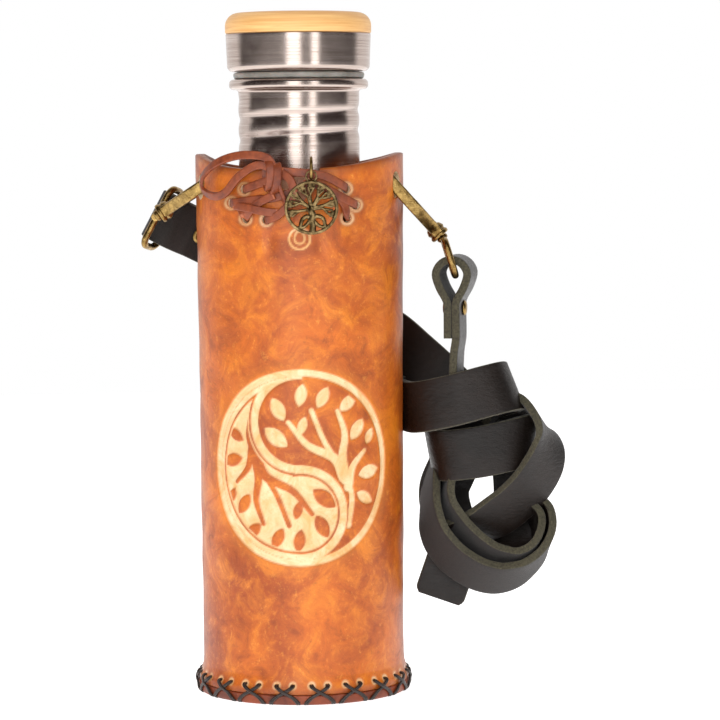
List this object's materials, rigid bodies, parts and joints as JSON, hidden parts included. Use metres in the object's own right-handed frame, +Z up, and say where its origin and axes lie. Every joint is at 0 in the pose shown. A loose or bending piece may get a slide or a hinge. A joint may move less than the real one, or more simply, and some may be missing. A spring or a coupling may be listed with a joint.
{
  "type": "canteen",
  "caption": "Slim steel water bottle with a bamboo-topped screw cap, carried in a stitched and laced leather sleeve with a hooked shoulder strap.",
  "frame": {"origin": "centre of the sleeve's underside, on the surface it stands on", "axes": "+Z up along the bottle's axis, -Y the front of the sleeve with the lacing and emblem, +X towards the ear with the knotted end of the strap"},
  "size_m": [0.1722, 0.0973, 0.2707],
  "materials": {
    "steel": "brushed, vertical grain on the neck",
    "bamboo": "oiled bamboo",
    "plug": "matte",
    "seal": "translucent grey silicone",
    "sleeve": "hand-dyed, mottled, burnished edges",
    "tongue": "suede lining",
    "lace": "flat thong",
    "cord": "black waxed cord",
    "antique_brass": "antique, darkened in the recesses",
    "strap": "smooth black face, raw olive edges"
  },
  "bodies": {
    "sleeve": {"sleeve_wall": "sleeve", "sleeve_base": "sleeve", "base_stitching": "cord", "back_seam_stitching": "cord", "neck_tongue": "tongue", "front_lacing": "lace", "bow_knot": "lace", "bow_loop": "lace", "strap_back_run": "strap"},
    "bottle": {"bottle_body": "steel"},
    "cap_seal": {"cap_gasket": "seal"},
    "cap": {"cap_shell": "steel", "cap_top_disc": "bamboo", "cap_plug": "plug"},
    "charm": {"medallion": "antique_brass", "medallion_ring": "antique_brass"},
    "right_strap": {"right_hook_body": "antique_brass", "right_gate_pin": "antique_brass", "right_strap_drop": "strap", "right_strap_rivet": "antique_brass", "strap_knot": "strap"},
    "right_eye": {"right_swivel_eye": "antique_brass"},
    "right_gate": {"right_hook_gate": "antique_brass"},
    "left_strap": {"left_hook_body": "antique_brass", "left_gate_pin": "antique_brass", "left_strap_end": "strap", "left_strap_rivet": "antique_brass"},
    "left_eye": {"left_swivel_eye": "antique_brass"},
    "left_gate": {"left_hook_gate": "antique_brass"}
  },
  "joints": [
    {"name": "bottle_slide", "type": "slide", "parent": "sleeve", "child": "bottle", "axis": [0, 0, 1], "range_m": [0, 0.003]},
    {"name": "cap_lift", "type": "slide", "parent": "bottle", "child": "cap_seal", "axis": [0, 0, 1], "range_m": [0, 0.0241]},
    {"name": "cap_turn", "type": "hinge", "parent": "cap_seal", "child": "cap", "pos_m": [0, 0, 0.2474], "axis": [0, 0, 1], "range_deg": [0, 1080]},
    {"name": "charm_swing", "type": "hinge", "parent": "sleeve", "child": "charm", "pos_m": [0.0054, -0.0433, 0.2093], "axis": [-1, 0, 0], "range_deg": [0, 70]},
    {"name": "right_hook_swing", "type": "hinge", "parent": "sleeve", "child": "right_strap", "pos_m": [0.03675, 0, 0.2034], "axis": [0, -1, 0], "range_deg": [0, 25]},
    {"name": "right_eye_swivel", "type": "hinge", "parent": "right_strap", "child": "right_eye", "pos_m": [0.05637, 0, 0.18137], "axis": [0.6652, 0, -0.7466], "range_deg": [-8, 8]},
    {"name": "right_gate_hinge", "type": "hinge", "parent": "right_strap", "child": "right_gate", "pos_m": [0.04686, 0.015, 0.19205], "axis": [0.7466, 0, 0.6652], "range_deg": [0, 16], "stiffness_Nm_per_rad": 0.02, "springref_deg": -28.65},
    {"name": "left_hook_swing", "type": "hinge", "parent": "sleeve", "child": "left_strap", "pos_m": [-0.03675, 0, 0.2034], "axis": [0, 1, 0], "range_deg": [0, 18]},
    {"name": "left_eye_swivel", "type": "hinge", "parent": "left_strap", "child": "left_eye", "pos_m": [-0.05615, 0, 0.19104], "axis": [-0.8434, 0, -0.5373], "range_deg": [-4, 4]},
    {"name": "left_gate_hinge", "type": "hinge", "parent": "left_strap", "child": "left_gate", "pos_m": [-0.04409, 0.015, 0.19873], "axis": [-0.5373, 0, 0.8434], "range_deg": [-8, 0], "stiffness_Nm_per_rad": 0.02, "springref_deg": 28.65}
  ],
  "couplings": [
    {"joint": "cap_lift", "follows": "cap_turn", "m_per_rad": 0.0012732}
  ]
}
